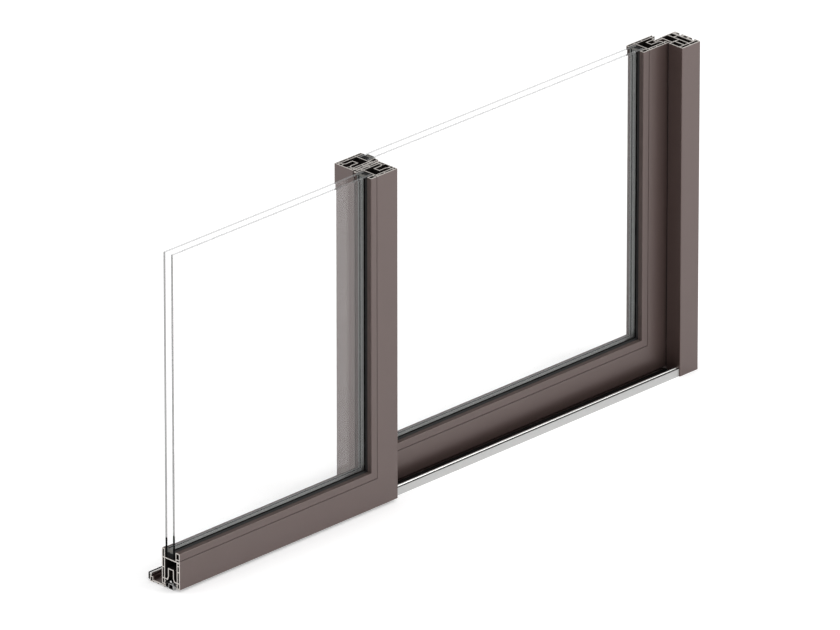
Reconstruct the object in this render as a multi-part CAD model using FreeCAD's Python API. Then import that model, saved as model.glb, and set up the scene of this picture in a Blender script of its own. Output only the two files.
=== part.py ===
"""Cutaway sample of a horizontal sliding window: two glazed sashes on a double-track sill and one jamb.

The sample is cut level across its stiles and panes, and upright across the front sash and the sill.
+X runs along the sill to the jamb, +Y from the front to the back, +Z up. The origin is on the level
that the sill stands on, under the middle of the sample. All sizes are millimetres.
"""
import os

import FreeCAD
import Part

# Whole sample
WIDTH = 1131.0
HEIGHT = 550.0

# Sashes: one mitred profile all round, each sash in its own plane
SASH_DEPTH = 38.0
SASH_FACE = 59.2
SASH_GAP = 5.0
FRONT_SASH_LIFT = 5.0
REAR_SASH_LIFT = 8.5
FRONT_SASH_RIGHT = 462.0
REAR_SASH_LEFT = 409.5
REAR_SASH_TUCK = 4.0
MEETING_TRIM = 5.0
JAMB_TRIM = 2.5
LEG_DEPTH = 6.4
WALL = 1.7
LOWER_WEB = 8.9
POCKET_TOP = 29.0
PLATFORM_TOP = 45.0
SKIN_TOP = 46.6
POCKET_HALF = 6.2
MOUTH_HALF = 8.5
POCKET_FLARE_TOP = 14.5
SCREW_PORT_BORE = 1.8
SCREW_PORT_SINK = 4.4
LIP_REACH = 1.8
LIP_THICKNESS = 1.2
LIP_SPACING = 5.0

# Glazing beads and gaskets
BEAD_DEPTH = 8.6
BEAD_JOINT = 0.9
BEAD_WALL = 1.5
BEAD_ROUND = 1.0
GASKET_BITE = 6.0
FRONT_GASKET_LIP = 3.0
REAR_GASKET_LIP = 0.4

# Sealed double glazing: pane, gap, pane
PANE = 4.0
PANE_GAP = 12.0
GLASS_FRONT = 10.0
GLASS_EDGE = 47.4
EDGE_SEAL = 7.6
SPACER_HEIGHT = 8.0
SPACER_WALL = 0.7
BLOCK_LENGTH = 80.0
BLOCK_MARGIN = 1.0

# Sill: two tracks on one base
TRACK_WIDTH = 10.0
TRACK_HEIGHT = 9.0
TRACK_WALL = 1.5
TRACK_LIP = 3.4
TRACK_LIP_WALL = 1.1
STEM_WIDTH = 1.6
STEM_TOP = 13.0
RAIL_RADIUS = 2.0
RAIL_CENTRE = 12.6
BASE_BOTTOM = 2.0
BASE_TOP = 4.0
BREAK_WIDTH = 6.0
BREAK_FLANGE = 19.0
BREAK_FLANGE_THICKNESS = 0.6
FOOT_WIDTH = 1.6
FOOT_PLACES = (33.0, 47.0)
REAR_SEAL_BOTTOM = 3.0
REAR_SEAL_TOP = 14.0
REAR_SEAL_LIP = 1.8

# Jamb
JAMB_WIDTH = 40.0
JAMB_FRONT = 12.0
JAMB_STEP = 41.0
JAMB_BACK = 66.0
JAMB_REBATE = 6.0
JAMB_WALL = 2.0
JAMB_ROUND = 1.2
JAMB_SIDE_CHAMBER = 11.0
JAMB_MIDDLE_CHAMBER = 21.0
JAMB_DEEP_CHAMBER = (31.0, 51.0)
TONGUE_REACH = 10.0
TONGUE_DEPTH = 6.0
TONGUE_NOTCH = 18.0
ANCHOR_SLOTS = (26.5, 53.5)
ANCHOR_SEAT = 8.0
ANCHOR_DEPTH = 7.0
ANCHOR_MOUTH = 3.0

# Rollers and seals
WHEEL_GROOVE = 5.0
WHEEL_RIM = 6.6
WHEEL_HALF = 2.6
GROOVE_HALF = 2.1
AXLE_RADIUS = 1.5
CARRIAGE_LENGTH = 30.0
CARRIAGE_CLEARANCE = 1.0
CHEEK_GAP = 0.4
ROLLER_INSET = 90.0
BRUSH_BACK = 1.6
BRUSH_CLEARANCE = 0.4

# Interlocks: a cover over each meeting stile's outer edge, with a hook into the gap
COVER = 1.5
COVER_CLIP_HALF = 6.5
COVER_CLIP_WALL = 1.4
COVER_CLIP_REACH = 3.8
HOOK_THICKNESS = 1.2
HOOK_FOOT = 1.0
HOOK_BASE = 12.0
HOOK_INSET = 4.0
HOOK_REACH = 26.0
HOOK_REST = 0.6

LEFT = -WIDTH / 2
JAMB_X = WIDTH / 2 - JAMB_WIDTH
FRONT = -(2 * SASH_DEPTH + SASH_GAP) / 2
REAR_OFFSET = SASH_DEPTH + SASH_GAP
RAIL_MIDDLE = SASH_DEPTH / 2
GLASS_BACK = GLASS_FRONT + 2 * PANE + PANE_GAP
REAR_LEG = SASH_DEPTH - LEG_DEPTH
RAIL_TOP = RAIL_CENTRE + RAIL_RADIUS
AXLE_LEVEL = RAIL_TOP + WHEEL_GROOVE

X_DIR = FreeCAD.Vector(1, 0, 0)
Y_DIR = FreeCAD.Vector(0, 1, 0)
Z_DIR = FreeCAD.Vector(0, 0, 1)


def polygon(points):
    """Flat face on local X and Y through the given corners."""
    corners = [FreeCAD.Vector(a, b, 0) for a, b in points]
    return Part.Face(Part.makePolygon(corners + corners[:1]))


def rectangle(a0, b0, a1, b1):
    return polygon([(a0, b0), (a1, b0), (a1, b1), (a0, b1)])


def disc(a, b, radius):
    circle = Part.Circle(FreeCAD.Vector(a, b, 0), Z_DIR, radius)
    return Part.Face(Part.Wire(circle.toShape()))


def rounded(face, radius, corners):
    """The face with its listed corners rounded."""
    points = [vertex.Point for vertex in face.OuterWire.OrderedVertexes]
    edges = []
    count = len(points)
    starts = []
    ends = []
    for index, point in enumerate(points):
        is_round = any(point.distanceToPoint(FreeCAD.Vector(a, b, 0)) < 1e-6 for a, b in corners)
        before = (points[index - 1] - point).normalize() * (radius if is_round else 0)
        after = (points[(index + 1) % count] - point).normalize() * (radius if is_round else 0)
        ends.append(point + before)
        starts.append(point + after)
        if is_round:
            bow = (before + after) * (1 - 0.5 ** 0.5)
            edges.append(Part.Arc(point + before, point + bow, point + after).toShape())
    for index in range(count):
        edges.append(Part.makeLine(starts[index], ends[(index + 1) % count]))
    return Part.Face(Part.Wire(Part.__sortEdges__(edges)))


def union(faces):
    """One flat section from overlapping walls: the top of their merged slab."""
    slabs = [face.extrude(-Z_DIR) for face in faces]
    merged = slabs[0].multiFuse(slabs[1:]).removeSplitter()
    return next(face for face in merged.Faces if abs(face.BoundBox.ZMin) < 1e-6)


def run(section, origin, depth, inward, length):
    """A section laid with its first axis along depth and its second inward, drawn out by a length."""
    along = depth.cross(inward)
    laid = section.copy()
    laid.Placement = FreeCAD.Placement(origin, FreeCAD.Rotation(depth, inward, along, "XYZ"))
    return laid.extrude(along * length)


def sill_run(section, end):
    """A sill section drawn out from the upright cut; its axes are the depth from the front and the height."""
    return run(section, FreeCAD.Vector(LEFT, FRONT, 0), Y_DIR, Z_DIR, end - LEFT)


def upright(section, x, height=HEIGHT):
    """A plan section, across the width and back from the front, drawn up from the floor."""
    return run(section, FreeCAD.Vector(x, FRONT, 0), X_DIR, Y_DIR, height)


class Sash:
    """Places sections round one sash. A section's axes are the depth and the distance in from the edge.

    The stiles' outer edges are trimmed, so that their faces are narrower than the bottom rail's.
    """

    def __init__(self, name, front, lift, left, left_trim, right, right_trim):
        self.name = name
        self.front = front
        self.lift = lift
        self.left = left - left_trim
        self.right = right + right_trim
        self.left_edge = left
        self.right_edge = right
        self.has_left_stile = left_trim > 0

    def mitre(self, corners):
        outline = [FreeCAD.Vector(x, self.front - SASH_GAP, z) for x, z in corners]
        face = Part.Face(Part.makePolygon(outline + outline[:1]))
        kept = Part.makeBox(self.right_edge - self.left_edge, SASH_DEPTH + 2 * SASH_GAP, HEIGHT,
                            FreeCAD.Vector(self.left_edge, self.front - SASH_GAP, 0))
        return face.extrude(Y_DIR * (SASH_DEPTH + 2 * SASH_GAP)).common(kept)

    def sides(self, section):
        """The section as a bottom rail and its stiles, mitred where they meet."""
        bottom, top, reach = self.lift, HEIGHT, 2 * SASH_FACE
        slope = reach if self.has_left_stile else 0
        keep_bottom = [(self.left, bottom), (self.right, bottom),
                       (self.right - reach, bottom + reach), (self.left + slope, bottom + reach)]
        keep_right = [(self.right, bottom), (self.right, top),
                      (self.right - reach, top), (self.right - reach, bottom + reach)]
        keep_left = [(self.left, bottom), (self.left, top),
                     (self.left + reach, top), (self.left + reach, bottom + reach)]
        rail = run(section, FreeCAD.Vector(self.left, self.front, bottom), Y_DIR, Z_DIR, self.right - self.left)
        stile = run(section, FreeCAD.Vector(self.right, self.front, bottom), Y_DIR, -X_DIR, top - bottom)
        made = {"bottom": rail.common(self.mitre(keep_bottom)), "right": stile.common(self.mitre(keep_right))}
        if self.has_left_stile:
            stile = run(section, FreeCAD.Vector(self.left, self.front, top), Y_DIR, X_DIR, top - bottom)
            made["left"] = stile.common(self.mitre(keep_left))
        return made

    def frame(self, section):
        """The section as one mitred frame."""
        made = list(self.sides(section).values())
        return made[0].multiFuse(made[1:]).removeSplitter()

    def sheet(self, depth, thickness):
        """A pane from the glazing edge up to the level cut."""
        x0 = self.left + (GLASS_EDGE if self.has_left_stile else 0)
        z0 = self.lift + GLASS_EDGE
        size = (self.right - GLASS_EDGE - x0, thickness, HEIGHT - z0)
        return Part.makeBox(*size, FreeCAD.Vector(x0, self.front + depth, z0))

    def support_places(self):
        """The two places along the rail that carry the sash."""
        return (self.left_edge + ROLLER_INSET, self.right_edge - ROLLER_INSET)


def leg(depth, top, webs):
    """Hollow upright wall of the sash profile, with a chamber between each two webs."""
    section = rectangle(depth, 0, depth + LEG_DEPTH, top)
    floors = [0.0] + [web for web in webs if web < top - WALL] + [top - WALL]
    for lower, upper in zip(floors, floors[1:]):
        chamber = rectangle(depth + WALL, lower + WALL, depth + LEG_DEPTH - WALL, upper)
        section = section.cut(chamber)
    return section


def roller_pocket():
    """Flared channel that straddles the rail and houses the rollers, with its webs to the two legs."""
    middle, low, mid, top = SASH_DEPTH / 2, LOWER_WEB, POCKET_FLARE_TOP, POCKET_TOP
    inner_top, web_top = top - WALL, LOWER_WEB + WALL
    half = [(LEG_DEPTH - middle, web_top), (-MOUTH_HALF, web_top), (-POCKET_HALF, mid), (-POCKET_HALF, top)]
    inside = [(WALL - POCKET_HALF, inner_top), (WALL - POCKET_HALF, mid), (WALL - MOUTH_HALF, low),
              (LEG_DEPTH - middle, low)]
    left = half + [(0, top), (0, inner_top)] + inside
    right = [(-a, b) for a, b in left]
    return union([polygon([(middle + a, b) for a, b in side]) for side in (left, right)])


def brush_lips():
    """Four small lips, two on each leg, that hold the brush seals."""
    lips = []
    for depth in (LEG_DEPTH, REAR_LEG - LIP_REACH):
        for height in (0, LIP_SPACING):
            lips.append(rectangle(depth, height, depth + LIP_REACH, height + LIP_THICKNESS))
    return lips


def sash_section():
    webs = (LOWER_WEB, POCKET_TOP - WALL, PLATFORM_TOP - WALL)
    front_leg = leg(0, PLATFORM_TOP, webs)
    rear_leg = rounded_top_leg(webs)
    platform = rectangle(LEG_DEPTH - WALL, PLATFORM_TOP - WALL, REAR_LEG + WALL, PLATFORM_TOP)
    skin = rectangle(0, PLATFORM_TOP - WALL, WALL, SKIN_TOP)
    port_place = (LEG_DEPTH / 2, PLATFORM_TOP - SCREW_PORT_SINK)
    port = disc(*port_place, LEG_DEPTH / 2)
    section = union([front_leg, rear_leg, platform, skin, port, roller_pocket()] + brush_lips())
    return section.cut(disc(*port_place, SCREW_PORT_BORE)).Faces[0]


def rounded_top_leg(webs):
    """Rear leg, whose upstand above the platform holds the back of the glass."""
    whole = leg(REAR_LEG, SASH_FACE, webs)
    outline = rounded(rectangle(REAR_LEG, 0, SASH_DEPTH, SASH_FACE), WALL, [(SASH_DEPTH, SASH_FACE)])
    return whole.common(outline)


def bead_section():
    bottom = SKIN_TOP + BEAD_JOINT
    box = rounded(rectangle(0, bottom, BEAD_DEPTH, SASH_FACE), BEAD_ROUND, [(0, SASH_FACE)])
    hollow = rectangle(BEAD_WALL, bottom + BEAD_WALL, BEAD_DEPTH - BEAD_WALL, SASH_FACE - BEAD_WALL)
    clip = rectangle(BEAD_DEPTH - BEAD_WALL, PLATFORM_TOP, BEAD_DEPTH, bottom + BEAD_WALL)
    return union([box.cut(hollow), clip])


def gasket_section(holder, glass, lip):
    """Wedge between a holder and the glass, with a lip that rises against the glass."""
    low = SASH_FACE - GASKET_BITE
    return polygon([(holder, low), (glass, low), (glass, SASH_FACE + lip), (holder, SASH_FACE)])


def spacer_section():
    low = GLASS_EDGE + EDGE_SEAL
    outer = rectangle(GLASS_FRONT + PANE, low, GLASS_BACK - PANE, low + SPACER_HEIGHT)
    inner = rectangle(GLASS_FRONT + PANE + SPACER_WALL, low + SPACER_WALL,
                      GLASS_BACK - PANE - SPACER_WALL, low + SPACER_HEIGHT - SPACER_WALL)
    return outer.cut(inner)


def setting_blocks(sash):
    """Blocks on the platform that carry the glass above each roller."""
    blocks = []
    for x in sash.support_places():
        corner = FreeCAD.Vector(x - BLOCK_LENGTH / 2, sash.front + GLASS_FRONT - BLOCK_MARGIN,
                                sash.lift + PLATFORM_TOP)
        depth = GLASS_BACK - GLASS_FRONT + 2 * BLOCK_MARGIN
        blocks.append(Part.makeBox(BLOCK_LENGTH, depth, GLASS_EDGE - PLATFORM_TOP, corner))
    return Part.makeCompound(blocks)


def brush_seals(sash):
    """Brush strips held in the lips of the bottom rail, reaching towards the track."""
    reach = SASH_DEPTH / 2 - TRACK_WIDTH / 2 - BRUSH_CLEARANCE
    low, high = LIP_THICKNESS, LIP_SPACING
    middle = (low + high) / 2
    pile = (high - low) / 4
    half = [(LEG_DEPTH, low), (LEG_DEPTH + BRUSH_BACK, low), (LEG_DEPTH + BRUSH_BACK, middle - pile),
            (reach, middle - pile), (reach, middle + pile), (LEG_DEPTH + BRUSH_BACK, middle + pile),
            (LEG_DEPTH + BRUSH_BACK, high), (LEG_DEPTH, high)]
    mirrored = [(SASH_DEPTH - a, b) for a, b in half]
    start = sash.left + (SASH_FACE if sash.has_left_stile else 0)
    origin = FreeCAD.Vector(start, sash.front, sash.lift)
    length = sash.right - SASH_FACE - start
    return Part.makeCompound([run(polygon(side), origin, Y_DIR, Z_DIR, length) for side in (half, mirrored)])


def carriage(x, sash):
    """Housing pressed up into the roller pocket, with two cheeks that carry the axle."""
    half_width = POCKET_HALF - WALL
    foot = RAIL_TOP + CARRIAGE_CLEARANCE
    height = sash.lift + POCKET_TOP - WALL - foot
    middle = sash.front + SASH_DEPTH / 2
    block = Part.makeBox(CARRIAGE_LENGTH, 2 * half_width, height,
                         FreeCAD.Vector(x - CARRIAGE_LENGTH / 2, middle - half_width, foot))
    slot_half = WHEEL_HALF + CHEEK_GAP
    slot = Part.makeBox(2 * (WHEEL_RIM + WALL), 2 * slot_half, height - WALL,
                        FreeCAD.Vector(x - WHEEL_RIM - WALL, middle - slot_half, foot))
    bore = Part.makeCylinder(AXLE_RADIUS, 2 * half_width, FreeCAD.Vector(x, middle - half_width, AXLE_LEVEL), Y_DIR)
    return block.cut(slot).cut(bore)


def roller(x, sash):
    """Grooved wheel on its axle, standing on the rail."""
    middle = sash.front + SASH_DEPTH / 2
    half_width = POCKET_HALF - WALL
    discs = [(WHEEL_GROOVE, -WHEEL_HALF, WHEEL_HALF), (WHEEL_RIM, -WHEEL_HALF, -GROOVE_HALF),
             (WHEEL_RIM, GROOVE_HALF, WHEEL_HALF), (AXLE_RADIUS, -half_width, half_width)]
    turned = [Part.makeCylinder(radius, back - front, FreeCAD.Vector(x, middle + front, AXLE_LEVEL), Y_DIR)
              for radius, front, back in discs]
    return turned[0].multiFuse(turned[1:]).removeSplitter()


def interlock(sash, edge, way, face, towards):
    """Cover over a meeting stile's outer edge, clipped into its mouth, with a hook in the gap.

    The section's axes are the distance in from the edge and the distance out of the face into the gap.
    """
    tip_far = SASH_GAP - HOOK_REST
    tip_near = tip_far - HOOK_THICKNESS
    foot = HOOK_FOOT
    arm = HOOK_INSET + HOOK_THICKNESS
    hook = [(-COVER, -SASH_DEPTH), (-COVER, foot), (HOOK_INSET, foot), (HOOK_INSET, tip_far),
            (HOOK_INSET + HOOK_REACH, tip_far), (HOOK_INSET + HOOK_REACH, tip_near), (arm, tip_near),
            (arm, foot), (HOOK_INSET + HOOK_BASE, foot), (HOOK_INSET + HOOK_BASE, 0), (0, 0), (0, -SASH_DEPTH)]
    outlines = [hook]
    for side in (-1, 1):
        near = side * COVER_CLIP_HALF - SASH_DEPTH / 2
        far = near - side * COVER_CLIP_WALL
        outlines.append([(-COVER / 2, near), (COVER_CLIP_REACH, near), (COVER_CLIP_REACH, far), (-COVER / 2, far)])
    walls = [polygon([(edge + way * a, face + towards * b) for a, b in outline]) for outline in outlines]
    section = union(walls)
    section.translate(Z_DIR * sash.lift)
    whole = section.extrude(Z_DIR * (HEIGHT - sash.lift))
    half_notch = TRACK_WIDTH / 2 + COVER
    middle = face - towards * SASH_DEPTH / 2
    notch = Part.makeBox(SASH_FACE, 2 * half_notch, RAIL_TOP + COVER,
                         FreeCAD.Vector(edge - SASH_FACE / 2, middle - half_notch, 0))
    return whole.cut(notch)


def track_box(front, width):
    """Hollow foot of a track with the stem that holds its rail."""
    middle_stem = rectangle(RAIL_MIDDLE - STEM_WIDTH / 2, TRACK_HEIGHT - TRACK_WALL,
                            RAIL_MIDDLE + STEM_WIDTH / 2, STEM_TOP)
    shell = rectangle(front, 0, front + width, TRACK_HEIGHT)
    chamber = rectangle(front + TRACK_WALL, TRACK_WALL, front + width - TRACK_WALL, TRACK_HEIGHT - TRACK_WALL)
    return [shell.cut(chamber), middle_stem]


def front_track_section():
    front = RAIL_MIDDLE - TRACK_WIDTH / 2
    lip = rectangle(front, TRACK_HEIGHT - TRACK_WALL, front + TRACK_LIP_WALL, TRACK_HEIGHT + TRACK_LIP)
    return union(track_box(front, TRACK_WIDTH) + [lip])


def sill_base_section():
    """Floor of the sill on its feet, with the rear track."""
    start = RAIL_MIDDLE + TRACK_WIDTH / 2 + BREAK_WIDTH
    rear_front = RAIL_MIDDLE - TRACK_WIDTH / 2
    rear_width = TRACK_WIDTH / 2 + STEM_WIDTH
    walls = track_box(rear_front, rear_width)
    for wall in walls:
        wall.translate(FreeCAD.Vector(REAR_OFFSET, 0, 0))
    floor = rectangle(start, BASE_BOTTOM, rear_front + REAR_OFFSET + TRACK_WALL, BASE_TOP)
    feet = [rectangle(place, 0, place + FOOT_WIDTH, BASE_TOP) for place in FOOT_PLACES]
    return union(walls + [floor] + feet)


def rail_section(offset):
    """Round rail cap, slotted over the stem."""
    slot = rectangle(offset + RAIL_MIDDLE - STEM_WIDTH / 2, 0, offset + RAIL_MIDDLE + STEM_WIDTH / 2, STEM_TOP)
    return disc(offset + RAIL_MIDDLE, RAIL_CENTRE, RAIL_RADIUS).cut(slot)


def jamb_section():
    """Front box, rear box set back by a rebate, hollow tongue and two anchor slots on the wall side."""
    front_box = rounded(rectangle(0, JAMB_FRONT, JAMB_WIDTH, JAMB_STEP), JAMB_ROUND,
                        [(0, JAMB_FRONT), (JAMB_WIDTH, JAMB_FRONT)])
    rear_box = rectangle(JAMB_REBATE, JAMB_STEP - JAMB_WALL, JAMB_WIDTH, JAMB_BACK)
    tongue_y = REAR_OFFSET + RAIL_MIDDLE - TONGUE_DEPTH / 2
    tongue = rectangle(-TONGUE_REACH, tongue_y, JAMB_REBATE + JAMB_WALL, tongue_y + TONGUE_DEPTH)
    middle = JAMB_WIDTH / 2
    wall = JAMB_WALL
    inner_front = JAMB_FRONT + LEG_DEPTH
    deep_x, deep_y = JAMB_DEEP_CHAMBER
    chambers = [
        rectangle(wall, JAMB_FRONT + wall, middle - wall / 2, inner_front),
        rectangle(middle + wall / 2, JAMB_FRONT + wall, JAMB_WIDTH - wall, inner_front),
        rectangle(wall, inner_front + wall, JAMB_SIDE_CHAMBER, JAMB_STEP - wall),
        rectangle(JAMB_SIDE_CHAMBER + wall, inner_front + wall, JAMB_MIDDLE_CHAMBER, JAMB_STEP - wall),
        rectangle(JAMB_MIDDLE_CHAMBER + wall, inner_front + wall, deep_x, deep_y),
        rectangle(JAMB_REBATE + wall, JAMB_STEP, JAMB_MIDDLE_CHAMBER, JAMB_BACK - wall),
        rectangle(JAMB_MIDDLE_CHAMBER + wall, deep_y + wall, deep_x, JAMB_BACK - wall),
        rectangle(deep_x + wall, ANCHOR_SLOTS[0] + ANCHOR_SEAT + wall, JAMB_WIDTH - wall,
                  ANCHOR_SLOTS[1] - ANCHOR_SEAT - wall),
        rectangle(wall - TONGUE_REACH, tongue_y + wall, JAMB_REBATE, tongue_y + TONGUE_DEPTH - wall),
    ]
    section = union([front_box, rear_box, tongue])
    for chamber in chambers:
        section = section.cut(chamber)
    slots = [anchor_slot(place) for place in ANCHOR_SLOTS]
    section = union([section] + [seat for seat, hollow in slots])
    for seat, hollow in slots:
        section = section.cut(hollow)
    return section


def anchor_slot(place):
    """Seat and hollow of one undercut slot for wall clips."""
    bottom = JAMB_WIDTH - ANCHOR_DEPTH
    seat = rectangle(bottom, place - ANCHOR_SEAT, JAMB_WIDTH, place + ANCHOR_SEAT)
    throat = rectangle(JAMB_WIDTH - JAMB_WALL, place - ANCHOR_MOUTH, JAMB_WIDTH, place + ANCHOR_MOUTH)
    cavity = rectangle(bottom + JAMB_WALL, place - 2 * ANCHOR_MOUTH, JAMB_WIDTH - JAMB_WALL, place + 2 * ANCHOR_MOUTH)
    return seat, union([throat, cavity])


def jamb():
    whole = upright(jamb_section(), JAMB_X)
    notch_y = FRONT + REAR_OFFSET
    notch = Part.makeBox(TONGUE_REACH + JAMB_REBATE, JAMB_BACK - JAMB_STEP, TONGUE_NOTCH,
                         FreeCAD.Vector(JAMB_X - TONGUE_REACH, notch_y, 0))
    return whole.cut(notch)


def frame_pieces():
    track_back = RAIL_MIDDLE + TRACK_WIDTH / 2
    seal_front = REAR_OFFSET + RAIL_MIDDLE + STEM_WIDTH
    rear_end = JAMB_X + JAMB_REBATE
    flange_top = BASE_TOP + BREAK_FLANGE_THICKNESS
    thermal_break = polygon([(track_back, BASE_BOTTOM), (track_back + BREAK_WIDTH, BASE_BOTTOM),
                             (track_back + BREAK_WIDTH, BASE_TOP), (track_back + BREAK_FLANGE, BASE_TOP),
                             (track_back + BREAK_FLANGE, flange_top), (track_back, flange_top)])
    seal_back = REAR_OFFSET + track_back
    rear_seal = polygon([(seal_front, REAR_SEAL_BOTTOM), (seal_back, REAR_SEAL_BOTTOM), (seal_back, REAR_SEAL_TOP),
                         (seal_back - REAR_SEAL_LIP, REAR_SEAL_TOP), (seal_back - REAR_SEAL_LIP, TRACK_HEIGHT),
                         (seal_front, TRACK_HEIGHT)])
    jamb_seal = rectangle(WALL / 2, JAMB_STEP, REAR_SASH_TUCK - WALL / 2, REAR_OFFSET)
    seal = upright(jamb_seal, JAMB_X, HEIGHT - REAR_SASH_LIFT)
    seal.translate(Z_DIR * REAR_SASH_LIFT)
    return {
        "front_track": sill_run(front_track_section(), JAMB_X),
        "front_rail": sill_run(rail_section(0), JAMB_X),
        "sill_thermal_break": sill_run(thermal_break, JAMB_X),
        "sill_base": sill_run(sill_base_section(), JAMB_X),
        "rear_rail": sill_run(rail_section(REAR_OFFSET), rear_end),
        "sill_rear_seal": sill_run(rear_seal, JAMB_X),
        "right_jamb": jamb(),
        "jamb_seal": seal,
    }


def sash_pieces(sash):
    pieces = {}
    names = {"bottom": "bottom_rail", "right": "right_stile", "left": "left_stile"}
    for side, solid in sash.sides(sash_section()).items():
        pieces[names[side]] = solid
    for side, solid in sash.sides(bead_section()).items():
        pieces[side + "_bead"] = solid
    pieces["front_gasket"] = sash.frame(gasket_section(BEAD_DEPTH, GLASS_FRONT, FRONT_GASKET_LIP))
    pieces["rear_gasket"] = sash.frame(gasket_section(REAR_LEG, GLASS_BACK, REAR_GASKET_LIP))
    pieces["front_pane"] = sash.sheet(GLASS_FRONT, PANE)
    pieces["rear_pane"] = sash.sheet(GLASS_BACK - PANE, PANE)
    pieces["spacer"] = sash.frame(spacer_section())
    edge = rectangle(GLASS_FRONT + PANE, GLASS_EDGE, GLASS_BACK - PANE, GLASS_EDGE + EDGE_SEAL)
    pieces["edge_seal"] = sash.frame(edge)
    pieces["setting_blocks"] = setting_blocks(sash)
    pieces["brush_seals"] = brush_seals(sash)
    pieces["roller_carriages"] = Part.makeCompound([carriage(x, sash) for x in sash.support_places()])
    pieces["rollers"] = Part.makeCompound([roller(x, sash) for x in sash.support_places()])
    return {sash.name + "_" + name: solid for name, solid in pieces.items()}


def main():
    os.makedirs("parts", exist_ok=True)
    front_sash = Sash("front_sash", FRONT, FRONT_SASH_LIFT, LEFT, 0, LEFT + FRONT_SASH_RIGHT - COVER, MEETING_TRIM)
    rear_sash = Sash("rear_sash", FRONT + REAR_OFFSET, REAR_SASH_LIFT, LEFT + REAR_SASH_LEFT + COVER, MEETING_TRIM,
                     JAMB_X + REAR_SASH_TUCK, JAMB_TRIM)
    pieces = frame_pieces()
    for sash in (front_sash, rear_sash):
        pieces.update(sash_pieces(sash))
    pieces["front_sash_interlock"] = interlock(front_sash, front_sash.right_edge, -1, front_sash.front + SASH_DEPTH, 1)
    pieces["rear_sash_interlock"] = interlock(rear_sash, rear_sash.left_edge, 1, rear_sash.front, -1)
    for name, solid in pieces.items():
        solid.exportStep("parts/" + name + ".step")


main()
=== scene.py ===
"""Finishes, brush seals, spacer filling and studio for a cutaway sample of a horizontal sliding window.

The packed solids are the fixed frame. +X runs along the sill to the jamb, +Y from the front to the back,
+Z up, in metres. The sample is cut level across its top and upright at its left end.
"""

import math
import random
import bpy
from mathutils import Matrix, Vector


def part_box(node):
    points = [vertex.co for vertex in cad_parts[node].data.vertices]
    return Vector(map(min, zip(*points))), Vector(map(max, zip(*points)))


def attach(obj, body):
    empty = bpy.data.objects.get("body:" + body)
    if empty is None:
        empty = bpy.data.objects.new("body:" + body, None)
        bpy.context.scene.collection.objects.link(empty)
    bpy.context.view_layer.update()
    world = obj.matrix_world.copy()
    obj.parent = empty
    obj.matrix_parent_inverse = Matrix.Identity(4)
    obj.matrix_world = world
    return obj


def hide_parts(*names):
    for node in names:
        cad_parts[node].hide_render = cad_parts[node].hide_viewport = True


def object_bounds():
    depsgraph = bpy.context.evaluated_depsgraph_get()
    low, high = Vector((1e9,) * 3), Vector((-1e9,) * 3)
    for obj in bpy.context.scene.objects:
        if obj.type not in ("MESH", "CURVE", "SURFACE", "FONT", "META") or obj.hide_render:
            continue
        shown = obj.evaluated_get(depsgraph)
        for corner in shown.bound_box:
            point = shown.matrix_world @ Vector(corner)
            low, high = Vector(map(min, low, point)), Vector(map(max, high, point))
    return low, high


bl_info = {
    "name": "Sliding Window Sample",
    "version": (1, 0, 0),
    "blender": (4, 5, 0),
    "location": "View3D > Sidebar > Sliding Window",
    "description": "Dresses a cutaway sample of a horizontal sliding window and sets its studio",
    "category": "Object",
}

import bmesh
import bpy
from mathutils import Matrix, Vector

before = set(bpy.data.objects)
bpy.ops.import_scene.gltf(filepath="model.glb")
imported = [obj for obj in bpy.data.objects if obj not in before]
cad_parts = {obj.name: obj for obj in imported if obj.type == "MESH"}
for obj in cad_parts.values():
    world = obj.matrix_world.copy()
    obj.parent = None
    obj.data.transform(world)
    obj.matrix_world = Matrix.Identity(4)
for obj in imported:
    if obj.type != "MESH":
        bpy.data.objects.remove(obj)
CAD_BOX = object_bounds()
LEFT_CUT = CAD_BOX[0].x
TOP_CUT = CAD_BOX[1].z

MM = 0.001
SASHES = ("front_sash", "rear_sash")
PROFILES = {"bottom": "bottom_rail", "left": "left_stile", "right": "right_stile"}

# Profiles
SKIN = 1.0 * MM  # depth of a profile's outer skin; behind it lie the chambers
CLOSED = 14.7 * MM  # distance from a profile's glazing edge to its platform; beyond that it is closed
UPSTAND = 6.4 * MM  # depth of the hollow upstand behind the glass
CUT_DEPTH = 0.25 * MM  # how deep the bare metal or the ground glass of a cut reaches

# Jamb and tracks
JAMB_BOX_DEPTH = 29.0 * MM
JAMB_REBATE = 6.0 * MM
JAMB_WALL = 2.0 * MM
TONGUE_REACH = 10.0 * MM
TONGUE_DEPTH = 6.0 * MM
TRACK_WIDTH = 10.0 * MM
TRACK_HEIGHT = 9.0 * MM
TRACK_LIP = 3.4 * MM
TRACK_LIP_WALL = 1.1 * MM
REAR_TRACK_WIDTH = 6.6 * MM

# Levels up to which shade is painted black on the panes' upright cut, near the rail
EDGE_SHADE_TOPS = {"front_sash_front_pane": 90.8 * MM, "front_sash_rear_pane": 83.3 * MM}

# Sockets of a Mix node that mixes colours, given by place because their names repeat
MIX_SHARE = 0
MIX_FIRST = 6
MIX_SECOND = 7
MIXED = 2

WAVE_RATE = 10  # radians that a diagonal wave texture turns for each unit along an axis, at a scale of 1
SENSOR = 36.0  # width of the camera's sensor in millimetres


def linear(code):
    """Linear RGBA of an sRGB hex colour such as #463936."""
    channels = []
    for start in (1, 3, 5):
        value = int(code[start:start + 2], 16) / 255
        channels.append(value / 12.92 if value <= 0.04045 else ((value + 0.055) / 1.055) ** 2.4)
    return (*channels, 1.0)


def shade(colour, factor, lift=0.0):
    """A linear colour made darker or lighter by a factor, and lifted a little."""
    return [channel * factor + lift for channel in colour[:3]] + [1.0]


def colour_property(name, code, description):
    return bpy.props.FloatVectorProperty(
        name=name, description=description, subtype="COLOR", size=4, min=0.0, max=1.0, default=linear(code))


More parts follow.
